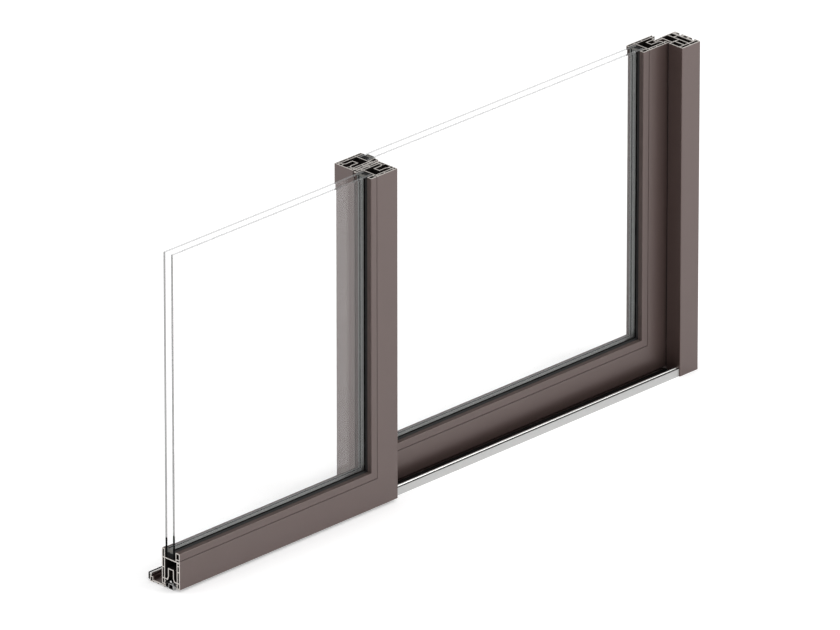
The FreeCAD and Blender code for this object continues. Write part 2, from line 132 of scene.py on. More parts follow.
def length_property(name, default, description):
    return bpy.props.FloatProperty(
        name=name, description=description, subtype="DISTANCE", unit="LENGTH", default=default, precision=4)


def share_property(name, default, description):
    return bpy.props.FloatProperty(
        name=name, description=description, subtype="FACTOR", min=0.0, max=1.0, default=default)


def strength_property(name, default, description, unit="NONE"):
    return bpy.props.FloatProperty(name=name, description=description, unit=unit, min=0.0, default=default)


def angle_property(name, degrees, description):
    return bpy.props.FloatProperty(
        name=name, description=description, subtype="ANGLE", unit="ROTATION", default=math.radians(degrees))


def place_property(name, default, description):
    return bpy.props.FloatVectorProperty(
        name=name, description=description, subtype="TRANSLATION", unit="LENGTH", size=3, default=default)


class FinishSettings(bpy.types.PropertyGroup):
    """Finishes of the window"""

    paint: colour_property("Paint", "#53423E", "Brown powder coat on every profile")
    # Painted shade: a dull darker brown on the faces that look at the glass
    bead_edge: colour_property("Bead edge", "#504643", "Thin dull coat on the faces that look at the glass")
    # Painted shade: a near black for the shadow inside the chambers, between the meeting stiles and in the
    # front track's hollows
    inside: colour_property("Inside", "#181412", "Dark pretreatment inside the chambers")
    sawn_metal: colour_property("Sawn metal", "#C8C3BE", "Bare aluminium where a profile is cut through")
    track: colour_property("Track", "#C2C2C1", "Clear anodised front track")
    rail: colour_property("Rail", "#DADAD8", "Stainless running rails")
    zinc: colour_property("Zinc", "#B9BBBA", "Zinc plated roller carriages")
    glass: colour_property("Glass", "#FEFEFE", "Tint of the float glass")
    glass_top: colour_property("Glass top", "#959595", "Level cut of the panes")
    glass_side: colour_property("Glass side", "#383838", "Upright cut of the panes")
    level_haze: share_property("Level haze", 0.48, "How dense the ground glass of the level cut is")
    upright_haze: share_property("Upright haze", 0.65, "How dense the ground glass of the upright cut is")
    spacer: colour_property("Spacer", "#6A6C6B", "Spacer bar between the panes")
    desiccant: colour_property("Desiccant", "#6A6864", "Drying beads inside the spacer bar")
    rubber: colour_property("Rubber", "#060606", "Gaskets and lip seals")
    # Also the black of the painted shade low on the panes' upright cut
    sealant: colour_property("Sealant", "#030303", "Edge sealant behind the spacer bar")
    # Black thermal break; its flange on the sill floor also stands in for the shade under the rear sash
    polyamide: colour_property("Polyamide", "#050505", "Thermal break and setting blocks")
    pile: colour_property("Pile", "#151515", "Brush seal fibres")
    roller: colour_property("Roller", "#E9E8E1", "Moulded roller wheels")


class BrushSettings(bpy.types.PropertyGroup):
    """Brush seals under the sashes"""

    tuft_pitch: length_property("Tuft pitch", 0.95 * MM, "Distance from one tuft of fibres to the next")
    tuft_radius: length_property("Tuft radius", 0.42 * MM, "Radius of a tuft at its root")
    tuft_length: length_property("Tuft length", 5.6 * MM, "Length of a tuft out of the woven back")
    row_offset: length_property("Row offset", 0.45 * MM, "Height of each row of tufts off the middle")
    lean: angle_property("Lean", 4.0, "Most that a tuft leans to either side")
    back_thickness: length_property("Back", 1.6 * MM, "Thickness of the back that slides into the profile")


class SpacerSettings(bpy.types.PropertyGroup):
    """Spacer bars and the drying beads that show at their cut ends"""

    bead_diameter: length_property("Bead diameter", 1.05 * MM, "Diameter of a drying bead")
    filling_depth: length_property("Filling depth", 4.0 * MM, "How far the beads are modelled in from a cut")
    bar_height: length_property("Bar height", 8.0 * MM, "Height of the spacer bar between the panes")
    bar_wall: length_property("Bar wall", 0.7 * MM, "Wall of the spacer bar")
    seam_place: length_property("Seam place", 8.4 * MM, "Distance of the bar's seam from its front")
    seam_width: length_property("Seam width", 2.8 * MM, "Width of the bar's perforated seam")
    butyl_depth: length_property("Butyl depth", 0.2 * MM, "Thickness of the butyl on the bar's sides")


class StageSettings(bpy.types.PropertyGroup):
    """Camera and light of the studio"""

    azimuth: angle_property("Azimuth", 45.267, "Turn of the camera to the left of the front")
    elevation: angle_property("Elevation", 24.223, "Height of the camera above the horizon")
    distance: length_property("Distance", 24.1154, "Distance from the camera to the point it looks at")
    lens: bpy.props.FloatProperty(
        name="Lens", description="Focal length in millimetres on a 36 mm sensor", default=683.42, min=10.0)
    aim: place_property("Aim", (-0.014461, 0.0, 0.267616), "Point that the camera looks at")
    sky: strength_property("Sky", 0.9, "Strength of the white surroundings")
    sky_front: strength_property("Sky in front", 1.25, "Factor on the sky's strength in front of the window")
    sky_back: strength_property("Sky behind", 0.9, "Factor on the sky's strength behind the window")
    key: strength_property("Key lamp", 60.0, "Power of the large soft lamp", unit="POWER")
    key_size: length_property("Key size", 2.5, "Diameter of the soft lamp")
    key_place: place_property("Key place", (2.0, -3.5, 2.2), "Where the soft lamp hangs")
    key_aim: place_property("Key aim", (0.0, 0.0, 0.25), "Point that the soft lamp faces")
    floor: colour_property("Floor", "#F4F4F4", "Pale studio floor")
    floor_reach: length_property("Floor reach", 60.0, "Distance from the window to the floor's edges")
    floor_lift: share_property("Floor lift", 0.25, "Glow that brings the floor near white to the eye")


def finishes():
    return bpy.context.scene.window_finishes


def add(tree, kind, sockets=None, **settings):
    """Adds a node with its settings; a socket is given a value, or an output to link from."""
    node = tree.nodes.new(kind)
    for name, value in settings.items():
        setattr(node, name, value)
    for name, value in (sockets or {}).items():
        if isinstance(value, bpy.types.NodeSocket):
            tree.links.new(value, node.inputs[name])
        else:
            node.inputs[name].default_value = value
    return node


def new_material(name):
    """An empty node material, with its tree, its output and its Object coordinates."""
    material = bpy.data.materials.new(name)
    material.use_nodes = True
    tree = material.node_tree
    tree.nodes.clear()
    output = add(tree, "ShaderNodeOutputMaterial")
    place = add(tree, "ShaderNodeTexCoord").outputs["Object"]
    return material, tree, output, place


def cut_masks(tree, place):
    """Two masks: 1 on the level cut, and 1 on the upright cut."""
    parts = add(tree, "ShaderNodeSeparateXYZ", {0: place})
    top = add(tree, "ShaderNodeMath", {
        0: parts.outputs["Z"], 1: TOP_CUT - CUT_DEPTH}, operation="GREATER_THAN")
    left = add(tree, "ShaderNodeMath", {
        0: parts.outputs["X"], 1: LEFT_CUT + CUT_DEPTH}, operation="LESS_THAN")
    return top.outputs[0], left.outputs[0]


def largest(tree, *values):
    """The largest of several values; of masks, 1 where any of them is."""
    result = values[0]
    for value in values[1:]:
        result = add(tree, "ShaderNodeMath", {0: result, 1: value}, operation="MAXIMUM").outputs[0]
    return result


def box_mask(tree, place, low, high):
    """1 inside a box and 0 outside, from the largest of the distances to its middle over its half sizes."""
    offset = add(tree, "ShaderNodeVectorMath", {0: place, 1: (low + high) / 2}, operation="SUBTRACT")
    half = (high - low) / 2
    share = add(tree, "ShaderNodeVectorMath", {0: offset.outputs[0], 1: half}, operation="DIVIDE")
    size = add(tree, "ShaderNodeVectorMath", {0: share.outputs[0]}, operation="ABSOLUTE")
    parts = add(tree, "ShaderNodeSeparateXYZ", {0: size.outputs[0]})
    widest = largest(tree, parts.outputs["X"], parts.outputs["Y"], parts.outputs["Z"])
    return add(tree, "ShaderNodeMath", {0: widest, 1: 1.0}, operation="LESS_THAN").outputs[0]


def painted_shade_cover(tree, place, surface, boxes, colour):
    """The surface outside the boxes; inside them painted shade, a dull coat of one dark colour with hardly
    any gloss.
    """
    mask = largest(tree, *[box_mask(tree, place, *box) for box in boxes])
    dull = add(tree, "ShaderNodeBsdfPrincipled", {
        "Base Color": colour, "Roughness": 0.8, "Specular IOR Level": 0.1})
    return add(tree, "ShaderNodeMixShader", {0: mask, 1: surface.outputs[0], 2: dull.outputs[0]})


def sawn_aluminium(tree, place):
    """Sawn bare aluminium: bright, with the fine slanting scratches of a saw blade, 0.85 mm apart."""
    scratch_step = 1.2 * MM  # from one scratch to the next along the length or the width of a cut
    marks = add(tree, "ShaderNodeTexWave", {
        "Vector": place, "Scale": 2 * math.pi / (WAVE_RATE * scratch_step), "Distortion": 1.5,
        "Detail": 2.0}, bands_direction="DIAGONAL")
    rough = add(tree, "ShaderNodeMapRange", {"Value": marks.outputs["Fac"], "To Min": 0.42, "To Max": 0.55})
    bump = add(tree, "ShaderNodeBump", {
        "Height": marks.outputs["Fac"], "Strength": 0.15, "Distance": 0.02 * MM})
    return add(tree, "ShaderNodeBsdfPrincipled", {
        "Base Color": finishes().sawn_metal, "Metallic": 1.0, "Roughness": rough.outputs[0],
        "Normal": bump.outputs[0]})


def powder_coat(name, chambers, edges=()):
    """Satin brown powder coat on extruded aluminium, stoved to a faint orange peel.

    It looks dark brown where nothing bright is reflected, and a soft reddish grey where its bronze flake and
    its lacquer catch the white studio. The two cuts show the bare metal under it. Inside the chambers a dark
    painted shade stands in for the shadow there, and the faces that look at the glass carry a dull painted
    shade.
    """
    tone_size = 45 * MM
    peel_size = 2 * MM
    material, tree, output, place = new_material(name)
    tone = add(tree, "ShaderNodeTexNoise", {"Vector": place, "Scale": 1 / tone_size, "Detail": 3.0})
    colour = add(tree, "ShaderNodeMix", {
        MIX_SHARE: tone.outputs["Fac"], MIX_FIRST: shade(finishes().paint, 0.95),
        MIX_SECOND: shade(finishes().paint, 1.05)}, data_type="RGBA")
    peel = add(tree, "ShaderNodeTexNoise", {"Vector": place, "Scale": 1 / peel_size, "Detail": 2.0})
    rough = add(tree, "ShaderNodeMapRange", {"Value": peel.outputs["Fac"], "To Min": 0.4, "To Max": 0.5})
    bump = add(tree, "ShaderNodeBump", {
        "Height": peel.outputs["Fac"], "Strength": 0.12, "Distance": 0.03 * MM})
    paint = add(tree, "ShaderNodeBsdfPrincipled", {
        "Base Color": colour.outputs[MIXED], "Metallic": 0.68, "Roughness": rough.outputs[0],
        "Normal": bump.outputs[0], "Coat Weight": 0.9, "Coat Roughness": 0.35})
    # Painted shade: near black inside the chambers and in the gap between the meeting stiles
    body = painted_shade_cover(tree, place, paint, chambers, finishes().inside)
    if edges:
        # Painted shade: a dull darker brown on the faces that look at the glass
        body = painted_shade_cover(tree, place, body, edges, finishes().bead_edge)
    metal = sawn_aluminium(tree, place)
    mask = largest(tree, *cut_masks(tree, place))
    mixed = add(tree, "ShaderNodeMixShader", {0: mask, 1: body.outputs[0], 2: metal.outputs[0]})
    tree.links.new(mixed.outputs[0], output.inputs["Surface"])
    return material


def drawn_metal(name, colour, roughness, line_pitch, boxes=()):
    """Metal drawn or rolled along its length: fine straight lines that soften the reflection across them."""
    spread = 0.08
    material, tree, output, place = new_material(name)
    stretch = add(tree, "ShaderNodeMapping", {"Vector": place, "Scale": (0.01, 1.0, 1.0)})
    lines = add(tree, "ShaderNodeTexNoise", {
        "Vector": stretch.outputs[0], "Scale": 1 / line_pitch, "Detail": 3.0})
    rough = add(tree, "ShaderNodeMapRange", {
        "Value": lines.outputs["Fac"], "To Min": roughness - spread, "To Max": roughness + spread})
    tone = add(tree, "ShaderNodeMix", {
        MIX_SHARE: lines.outputs["Fac"], MIX_FIRST: shade(colour, 0.92),
        MIX_SECOND: colour}, data_type="RGBA")
    bump = add(tree, "ShaderNodeBump", {
        "Height": lines.outputs["Fac"], "Strength": 0.1, "Distance": 0.01 * MM})
    shader = add(tree, "ShaderNodeBsdfPrincipled", {
        "Base Color": tone.outputs[MIXED], "Metallic": 1.0, "Roughness": rough.outputs[0],
        "Normal": bump.outputs[0]})
    if boxes:
        # Painted shade: near black in the boxes, for the shadow in the track's hollows
        shader = painted_shade_cover(tree, place, shader, boxes, finishes().inside)
    tree.links.new(shader.outputs[0], output.inputs["Surface"])
    return material


def moulded(name, colour, roughness, grain, depth, gloss=0.5):
    """Moulded rubber or plastic: one body colour with a fine dull grain from its tool."""
    spread = 0.07
    material, tree, output, place = new_material(name)
    skin = add(tree, "ShaderNodeTexNoise", {"Vector": place, "Scale": 1 / grain, "Detail": 2.0})
    tone = add(tree, "ShaderNodeMix", {
        MIX_SHARE: skin.outputs["Fac"], MIX_FIRST: colour,
        MIX_SECOND: shade(colour, 1.5, lift=0.002)}, data_type="RGBA")
    rough = add(tree, "ShaderNodeMapRange", {
        "Value": skin.outputs["Fac"], "To Min": roughness - spread, "To Max": roughness + spread})
    bump = add(tree, "ShaderNodeBump", {"Height": skin.outputs["Fac"], "Strength": 0.2, "Distance": depth})
    shader = add(tree, "ShaderNodeBsdfPrincipled", {
        "Base Color": tone.outputs[MIXED], "Roughness": rough.outputs[0], "Normal": bump.outputs[0],
        "Specular IOR Level": gloss})
    tree.links.new(shader.outputs[0], output.inputs["Surface"])
    return material


def float_glass():
    """Clear float glass: colourless over its face, with a dull grey ground edge where the pane is cut.

    A ground edge is half clear, and what has passed it goes straight on through the pane. The upright cut is
    darker than the level one, and painted black as shade near the rail. The IOR is under glass's usual 1.52,
    because the panes hardly show a reflection.
    """
    colours = finishes()
    material, tree, output, place = new_material("clear_float_glass")
    clear = add(tree, "ShaderNodeBsdfPrincipled", {
        "Base Color": colours.glass, "Roughness": 0.0, "IOR": 1.36, "Transmission Weight": 1.0})
    through = add(tree, "ShaderNodeBsdfTransparent", {"Color": colours.glass})
    path = add(tree, "ShaderNodeLightPath")
    beyond = add(tree, "ShaderNodeMath", {
        0: path.outputs["Transparent Depth"], 1: 0.5}, operation="GREATER_THAN")
    passing = largest(
        tree, path.outputs["Is Shadow Ray"], path.outputs["Is Diffuse Ray"], beyond.outputs[0])
    pane = add(tree, "ShaderNodeMixShader", {0: passing, 1: clear.outputs[0], 2: through.outputs[0]})
    top, left = cut_masks(tree, place)
    # Painted shade: the sealant's black on the upright cut near the rail
    sealed = largest(tree, *[box_mask(tree, place, *box) for box in edge_shade_boxes()])
    side = add(tree, "ShaderNodeMix", {
        MIX_SHARE: sealed, MIX_FIRST: colours.glass_side, MIX_SECOND: colours.sealant}, data_type="RGBA")
    tone = add(tree, "ShaderNodeMix", {
        MIX_SHARE: left, MIX_FIRST: colours.glass_top, MIX_SECOND: side.outputs[MIXED]}, data_type="RGBA")
    ground = add(tree, "ShaderNodeBsdfPrincipled", {
        "Base Color": tone.outputs[MIXED], "Roughness": 0.8, "Specular IOR Level": 0.05})
    haze = add(tree, "ShaderNodeMapRange", {
        "Value": left, "To Min": colours.level_haze, "To Max": colours.upright_haze})
    dim = largest(tree, haze.outputs[0], sealed)
    edge = add(tree, "ShaderNodeMixShader", {0: dim, 1: through.outputs[0], 2: ground.outputs[0]})
    cut = largest(tree, top, left)
    mixed = add(tree, "ShaderNodeMixShader", {0: cut, 1: pane.outputs[0], 2: edge.outputs[0]})
    tree.links.new(mixed.outputs[0], output.inputs["Surface"])
    return material


def edge_shade_boxes():
    """The stretch of each pane's upright cut near the rail that is painted black as shade, as boxes."""
    boxes = []
    for pane, height in EDGE_SHADE_TOPS.items():
        low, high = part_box(pane)
        start = low - Vector((SKIN, SKIN, SKIN))
        boxes.append((start, Vector((low.x + CUT_DEPTH, high.y + SKIN, height))))
    return boxes


def spacer_bar(sash):
    """Folded aluminium spacer bar: dull grey with a dark perforated seam, and black butyl on both sides."""
    grain = 0.9 * MM
    sizes = bpy.context.scene.window_spacer
    material, tree, output, place = new_material(f"folded_spacer_aluminium_{sash}")
    low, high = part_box(f"{sash}_spacer")
    half = (high.y - low.y) / 2
    parts = add(tree, "ShaderNodeSeparateXYZ", {0: place})
    depth = add(tree, "ShaderNodeMath", {0: parts.outputs["Y"], 1: low.y}, operation="SUBTRACT")
    between = add(tree, "ShaderNodeMath", {
        0: depth.outputs[0], 1: half, 2: half - sizes.butyl_depth}, operation="COMPARE")
    butyl = add(tree, "ShaderNodeMath", {0: 1.0, 1: between.outputs[0]}, operation="SUBTRACT")
    seam = add(tree, "ShaderNodeMath", {
        0: depth.outputs[0], 1: sizes.seam_place, 2: sizes.seam_width / 2}, operation="COMPARE")
    lines = add(tree, "ShaderNodeTexNoise", {"Vector": place, "Scale": 1 / grain, "Detail": 3.0})
    rough = add(tree, "ShaderNodeMapRange", {"Value": lines.outputs["Fac"], "To Min": 0.36, "To Max": 0.52})
    bar = add(tree, "ShaderNodeBsdfPrincipled", {
        "Base Color": finishes().spacer, "Metallic": 1.0, "Roughness": rough.outputs[0]})
    black = add(tree, "ShaderNodeBsdfPrincipled", {
        "Base Color": finishes().sealant, "Roughness": 0.8, "Specular IOR Level": 0.05})
    mask = largest(tree, butyl.outputs[0], seam.outputs[0])
    mixed = add(tree, "ShaderNodeMixShader", {0: mask, 1: bar.outputs[0], 2: black.outputs[0]})
    tree.links.new(mixed.outputs[0], output.inputs["Surface"])
    return material


def sash_nodes(sash, *parts):
    """The names of a sash's solids, where the sash has them."""
    names = [f"{sash}_{part}" for part in parts]
    return [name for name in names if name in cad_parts]


def both_sashes(*parts):
    return [name for sash in SASHES for name in sash_nodes(sash, *parts)]


def profile_boxes(sash):
    """Each side that a sash has, with the box of its profile and the box of its bead."""
    for side, profile in PROFILES.items():
        if sash_nodes(sash, profile):
            yield side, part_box(f"{sash}_{profile}"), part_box(f"{sash}_{side}_bead")


def glazing_side(side, inner_low, inner_high, low, high, inset):
    """A profile's inside, stopped at an inset from the edge that faces the glass."""
    start, stop = inner_low.copy(), inner_high.copy()
    if side == "bottom":
        stop.z = high.z - inset
    elif side == "left":
        stop.x = high.x - inset
    else:
        start.x = low.x + inset
    return start, stop


def sash_chambers(sash):
    """The closed insides of a sash, where dark shade is painted: rail and stiles up to the platform, their
    upstands, and their beads.
    """
    boxes = []
    for side, (low, high), (bead_low, bead_high) in profile_boxes(sash):
        inner_low = low + Vector((-SKIN, SKIN, SKIN))
        inner_high = high + Vector((SKIN, -SKIN, SKIN))
        closed = glazing_side(side, inner_low, inner_high, low, high, CLOSED)
        edge_low, edge_high = glazing_side(side, inner_low, inner_high, low, high, SKIN)
        upstand_low = Vector((edge_low.x, high.y - UPSTAND + SKIN, edge_low.z))
        hollow_low = bead_low + Vector((-SKIN, SKIN, 0))
        hollow_high = bead_high + Vector((SKIN, -SKIN, SKIN))
        bead = glazing_side(side, hollow_low, hollow_high, bead_low, bead_high, SKIN)
        boxes += [closed, (upstand_low, edge_high), bead]
    return boxes


def glass_face_shade_boxes(sash):
    """The faces of a sash's beads and upstands that look at the glass, as thin boxes where shade is painted.
    """
    thin = 0.3 * MM
    rounded = 0.9 * MM
    boxes = []
    for side, (low, high), (bead_low, bead_high) in profile_boxes(sash):
        bead_span = (bead_low.y + rounded, bead_high.y + thin)
        upstand_span = (high.y - UPSTAND - thin, high.y - rounded)
        for front, back in (bead_span, upstand_span):
            start = Vector((low.x - SKIN, front, low.z - SKIN))
            stop = Vector((high.x + SKIN, back, high.z + SKIN))
            if side == "bottom":
                start.z, stop.z = high.z - thin, high.z + thin
            elif side == "left":
                start.x, stop.x = high.x - thin, high.x + thin
            else:
                start.x, stop.x = low.x - thin, low.x + thin
            boxes.append((start, stop))
    return boxes


def meeting_gap_shade():
    """The narrow gap between the two meeting stiles, where dark shade is painted."""
    inset = 2 * MM
    bite = 0.2 * MM
    front_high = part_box("front_sash_right_stile")[1]
    rear_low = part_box("rear_sash_left_stile")[0]
    start = Vector((rear_low.x + inset, front_high.y - bite, -SKIN))
    return start, Vector((front_high.x - inset, rear_low.y + bite, TOP_CUT + SKIN))


def frame_chambers():
    """The closed insides of the jamb's two boxes, of its tongue and of the rear track, where dark shade is
    painted.
    """
    low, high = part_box("right_jamb")
    corner = low.x + TONGUE_REACH
    step = low.y + JAMB_BOX_DEPTH - SKIN
    wall_side = high.x - SKIN
    top = high.z + SKIN
    front = (Vector((corner + SKIN, low.y + SKIN, -SKIN)), Vector((wall_side, step, top)))
    rear = (Vector((corner + JAMB_REBATE + SKIN, step, -SKIN)), Vector((wall_side, high.y - SKIN, top)))
    rail_low, rail_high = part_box("rear_rail")
    rail_middle = (rail_low.y + rail_high.y) / 2
    half_tongue = TONGUE_DEPTH / 2 - SKIN
    tongue = (Vector((low.x + SKIN, rail_middle - half_tongue, -SKIN)),
              Vector((corner + JAMB_REBATE + JAMB_WALL, rail_middle + half_tongue, top)))
    track_front = rail_middle - TRACK_WIDTH / 2
    track = (Vector((LEFT_CUT - SKIN, track_front + SKIN, SKIN)),
             Vector((corner, track_front + REAR_TRACK_WIDTH - SKIN, TRACK_HEIGHT - SKIN)))
    return [front, rear, tongue, track]


def track_chambers():
    """The closed foot of the front track, and the trough under its rail, where dark shade is painted."""
    bite = 0.1 * MM
    low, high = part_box("front_track")
    foot = (Vector((low.x - SKIN, low.y + SKIN, SKIN)),
            Vector((high.x, high.y - SKIN, TRACK_HEIGHT - SKIN)))
    trough = (Vector((low.x - SKIN, low.y + TRACK_LIP_WALL - bite / 2, TRACK_HEIGHT - bite)),
              Vector((high.x, high.y + SKIN, TRACK_HEIGHT + TRACK_LIP - bite)))
    return [foot, trough]


def dress(material, *names):
    """Gives a material to every slot of the named solids."""
    for name in names:
        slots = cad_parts[name].data.materials
        for index in range(len(slots)):
            slots[index] = material
        if not slots:
            slots.append(material)


def finished_piece(name, mesh, slot_name, material, *replaced):
    """An object for a finished mesh, riding on the window."""
    piece = bpy.data.objects.new(name, mesh)
    mesh.materials.append(material)
    bpy.context.scene.collection.objects.link(piece)
    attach(piece, "root")
    if replaced:
        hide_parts(*replaced)
    return piece


class SLIDING_WINDOW_OT_coat_profiles(bpy.types.Operator):
    """Coats every brown profile and bares the metal at the cuts"""

    bl_idname = "sliding_window.coat_profiles"
    bl_label = "Coat Profiles"

    def execute(self, context):
        beads = [f"{side}_bead" for side in PROFILES]
        for sash in SASHES:
            chambers = sash_chambers(sash) + [meeting_gap_shade()]
            coat = powder_coat(f"satin_brown_powder_coat_{sash}", chambers, glass_face_shade_boxes(sash))
            dress(coat, *sash_nodes(sash, *PROFILES.values(), *beads, "interlock"))
        dress(powder_coat("satin_brown_powder_coat_frame", frame_chambers()), "sill_base", "right_jamb")
        return {"FINISHED"}


class SLIDING_WINDOW_OT_finish_tracks(bpy.types.Operator):
    """Finishes the bare metal track, the running rails and the roller carriages"""

    bl_idname = "sliding_window.finish_tracks"
    bl_label = "Finish Tracks"

    def execute(self, context):
        colours = finishes()
        track = drawn_metal("clear_anodised_aluminium", colours.track, 0.38, 0.7 * MM, track_chambers())
        dress(track, "front_track")
        rail = drawn_metal("rolled_stainless_steel", colours.rail, 0.24, 0.5 * MM)
        dress(rail, "front_rail", "rear_rail")
        zinc = drawn_metal("zinc_plated_steel", colours.zinc, 0.42, 1.5 * MM)
        dress(zinc, *both_sashes("roller_carriages"))
        acetal = moulded("moulded_acetal", colours.roller, 0.35, 0.8 * MM, 0.02 * MM)
        dress(acetal, *both_sashes("rollers"))
        return {"FINISHED"}


class SLIDING_WINDOW_OT_glaze(bpy.types.Operator):
    """Glazes the panes and finishes the sealed edge between them"""

    bl_idname = "sliding_window.glaze"
    bl_label = "Glaze"

    def execute(self, context):
        dress(float_glass(), *both_sashes("front_pane", "rear_pane"))
        for sash in SASHES:
            dress(spacer_bar(sash), f"{sash}_spacer")
        sealant = moulded("black_polysulphide", finishes().sealant, 0.6, 1.2 * MM, 0.05 * MM, gloss=0.1)
        dress(sealant, *both_sashes("edge_seal"))
        return {"FINISHED"}


class SLIDING_WINDOW_OT_fill_spacers(bpy.types.Operator):
    """Fills the cut ends of the spacer bars with drying beads"""

    bl_idname = "sliding_window.fill_spacers"
    bl_label = "Fill Spacers"

    def execute(self, context):
        material = moulded("molecular_sieve_beads", finishes().desiccant, 0.8, 0.4 * MM, 0.05 * MM)
        for sash in SASHES:
            mesh = bmesh.new()
            for low, high, axis, way in self.cut_ends(sash):
                self.fill(mesh, random.Random(sash), low, high, axis, way)
            made = bpy.data.meshes.new(f"{sash}_drying_beads")
            mesh.to_mesh(made)
            mesh.free()
            finished_piece(f"{sash}_drying_beads", made, "grey_pile", material)
        return {"FINISHED"}

    def cut_ends(self, sash):
        """The hollow end of each cut run of a bar: two corners, the run's axis and the way to the cut."""
        sizes = bpy.context.scene.window_spacer
        wall, height, depth = sizes.bar_wall, sizes.bar_height, sizes.filling_depth
        low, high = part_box(f"{sash}_spacer")
        front, back = low.y + wall, high.y - wall
        uprights = [(high.x - height, high.x)]
        ends = []
        if sash_nodes(sash, "left_stile"):
            uprights.append((low.x, low.x + height))
        else:
            ends.append((Vector((low.x, front, low.z + wall)),
                         Vector((low.x + depth, back, low.z + height - wall)), 0, -1))
        for near, far in uprights:
            ends.append((Vector((near + wall, front, high.z - depth)),
                         Vector((far - wall, back, high.z)), 2, 1))
        return ends

    def fill(self, mesh, draw, low, high, axis, way):
        """One layer of beads just under the cut, on a plug of packed ones."""
        radius = bpy.context.scene.window_spacer.bead_diameter / 2
        sink = 1.25 * radius
        row_pitch = 1.75 * radius
        column_pitch = 2.05 * radius
        face = (high if way > 0 else low)[axis]
        level = face - way * sink
        plug_low, plug_high = low.copy(), high.copy()
        (plug_high if way > 0 else plug_low)[axis] = level
        plug = bmesh.ops.create_cube(mesh, size=1.0)["verts"]
        bmesh.ops.scale(mesh, verts=plug, vec=plug_high - plug_low)
        bmesh.ops.translate(mesh, verts=plug, vec=(plug_low + plug_high) / 2)
        across, along = [index for index in range(3) if index != axis]
        length = high[along] - low[along]
        width = high[across] - low[across]
        rows = int(length / row_pitch)
        columns = int(width / column_pitch)
        for row in range(rows):
            stagger = row % 2
            for column in range(columns - stagger):
                place = Vector((0, 0, 0))
                place[axis] = level + way * draw.uniform(-0.1, 0.15) * radius
                place[along] = low[along] + (row + 0.5) * length / rows
                place[across] = low[across] + (column + 0.5 + 0.5 * stagger) * width / columns
                bmesh.ops.create_icosphere(mesh, subdivisions=1, radius=radius * draw.uniform(0.88, 1.0),
                                           matrix=Matrix.Translation(place))


class SLIDING_WINDOW_OT_fit_seals(bpy.types.Operator):
    """Finishes the gaskets, lip seals, thermal break and setting blocks"""

    bl_idname = "sliding_window.fit_seals"
    bl_label = "Fit Seals"

    def execute(self, context):
        colours = finishes()
        rubber = moulded("extruded_rubber", colours.rubber, 0.6, 0.6 * MM, 0.02 * MM, gloss=0.3)
        dress(rubber, "sill_rear_seal", "jamb_seal", *both_sashes("front_gasket", "rear_gasket"))
        # The thermal break's black is its own colour and also stands in for the shade under the rear sash
        plastic = moulded("glass_filled_polyamide_and_gap_shade", colours.polyamide, 0.6, 0.9 * MM, 0.02 * MM, gloss=0.12)
        dress(plastic, "sill_thermal_break", *both_sashes("setting_blocks"))
        return {"FINISHED"}


class SLIDING_WINDOW_OT_plant_brushes(bpy.types.Operator):
    """Plants tufted brush seals in the lips under each sash"""

    bl_idname = "sliding_window.plant_brushes"
    bl_label = "Plant Brushes"

    def execute(self, context):
        material = moulded("polypropylene_pile", finishes().pile, 0.8, 0.5 * MM, 0.05 * MM)
        for name in both_sashes("brush_seals"):
            self.plant(name, material)
        return {"FINISHED"}

    def plant(self, name, material):
        """Woven backs and a first cell of leaning tufts, repeated along the rail.

        Single fibres are too fine to show, so each tuft stands for a bundle of them.
        """
        sizes = bpy.context.scene.window_brushes
        low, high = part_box(name)
        draw = random.Random(name)
        tufts_in_cell = 12
        middle = (low.z + high.z) / 2
        cell_length = tufts_in_cell * sizes.tuft_pitch
        count = int((high.x - low.x) / cell_length)
        stretch = (high.x - low.x) / (count * cell_length)
        mesh = bmesh.new()
        for side in (1, -1):
            root_y = (low.y if side > 0 else high.y) + side * sizes.back_thickness
            for row in (-1, 1):
                for index in range(tufts_in_cell):
                    x = low.x + (index + 0.5) * sizes.tuft_pitch * stretch
                    root = Vector((x, root_y, middle + row * sizes.row_offset))
                    self.tuft(mesh, draw, root, side, sizes)
        self.strip(mesh, low, high, sizes.back_thickness, cell_length * stretch)
        made = bpy.data.meshes.new(f"{name}_tufted")
        mesh.to_mesh(made)
        mesh.free()
        piece = finished_piece(f"{name}_tufted", made, "grey_pile", material, name)
        array = piece.modifiers.new("Along the rail", "ARRAY")
        array.use_relative_offset = False
        array.use_constant_offset = True
        array.constant_offset_displace = (cell_length * stretch, 0, 0)
        array.count = count

    def tuft(self, mesh, draw, root, side, sizes):
        """One tapered tuft of fibres that leans a little."""
        taper = 0.55
        made = bmesh.ops.create_cone(
            mesh, cap_ends=True, segments=5, radius1=sizes.tuft_radius, radius2=sizes.tuft_radius * taper,
            depth=sizes.tuft_length)["verts"]
        lean = Matrix.Rotation(draw.uniform(-sizes.lean, sizes.lean), 4, "Z")
        turn = Matrix.Rotation(math.radians(-90 * side), 4, "X")
        bmesh.ops.translate(mesh, verts=made, vec=(0, 0, sizes.tuft_length / 2))
        bmesh.ops.transform(mesh, matrix=Matrix.Translation(root) @ lean @ turn, verts=made)

    def strip(self, mesh, low, high, thickness, length):
        """The two woven backs that slide behind the lips."""
        for near in (low.y, high.y - thickness):
            made = bmesh.ops.create_cube(mesh, size=1.0)["verts"]
            bmesh.ops.scale(mesh, verts=made, vec=(length, thickness, high.z - low.z))
            centre = (low.x + length / 2, near + thickness / 2, (low.z + high.z) / 2)
            bmesh.ops.translate(mesh, verts=made, vec=centre)


